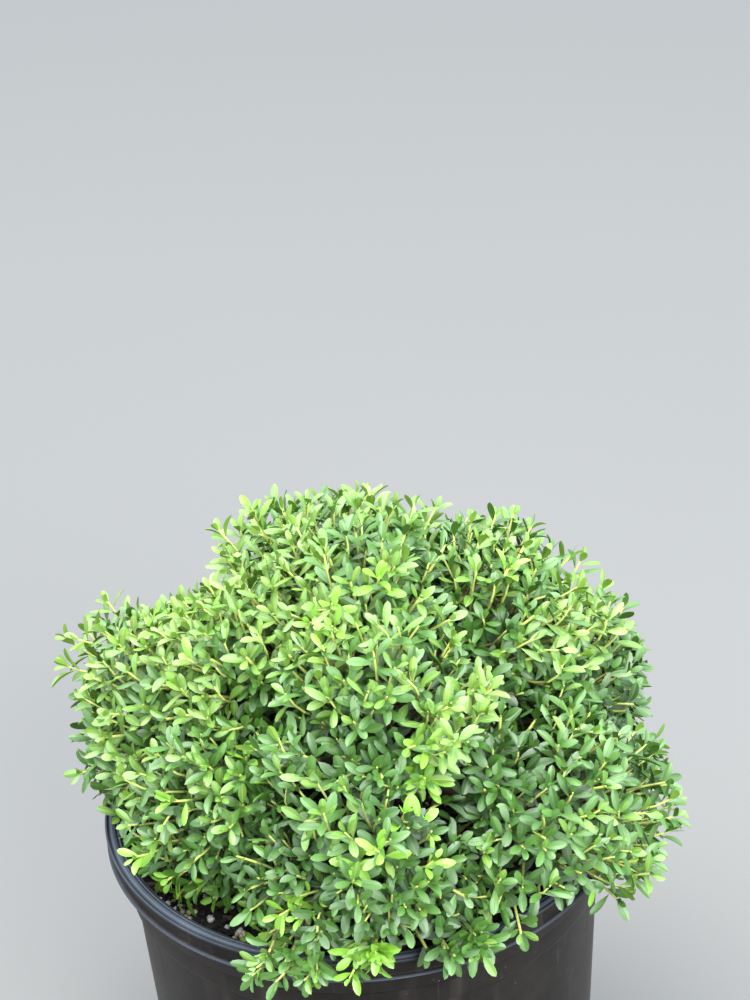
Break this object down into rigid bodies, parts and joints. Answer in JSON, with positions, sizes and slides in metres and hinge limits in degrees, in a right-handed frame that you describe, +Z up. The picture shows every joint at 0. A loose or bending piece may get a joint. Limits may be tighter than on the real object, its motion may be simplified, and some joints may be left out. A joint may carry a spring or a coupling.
{
  "type": "potted japanese holly",
  "caption": "Small dense evergreen holly shrub with narrow dark green leaves and paler new shoots, growing in a round black nursery pot filled with bark potting mix.",
  "frame": {"origin": "middle of the pot's flat underside, on the surface that the pot stands on", "axes": "+Z up along the pot's axis, -Y towards the side seen in the picture, +X to its right"},
  "size_m": [0.3329, 0.3562, 0.3978],
  "materials": {
    "pot_plastic": "satin",
    "potting_mix": "matte",
    "bark": "matte",
    "foliage": "satin"
  },
  "bodies": {
    "root": {"bough_back_left": "bark", "bough_back_right": "bark", "bough_front": "bark", "bough_front_left": "bark", "bough_front_right": "bark", "bough_left": "bark", "bough_right": "bark", "bough_upper_back": "bark", "bough_upper_front": "bark", "bough_upper_left": "bark", "bough_upper_right": "bark", "foliage_back_left": "foliage", "foliage_back_right": "foliage", "foliage_front": "foliage", "foliage_front_left": "foliage", "foliage_front_right": "foliage", "foliage_left": "foliage", "foliage_right": "foliage", "foliage_top": "foliage", "foliage_upper_back": "foliage", "foliage_upper_front": "foliage", "foliage_upper_left": "foliage", "foliage_upper_right": "foliage", "pot": "pot_plastic", "soil": "potting_mix", "stem": "bark"}
  },
  "joints": []
}
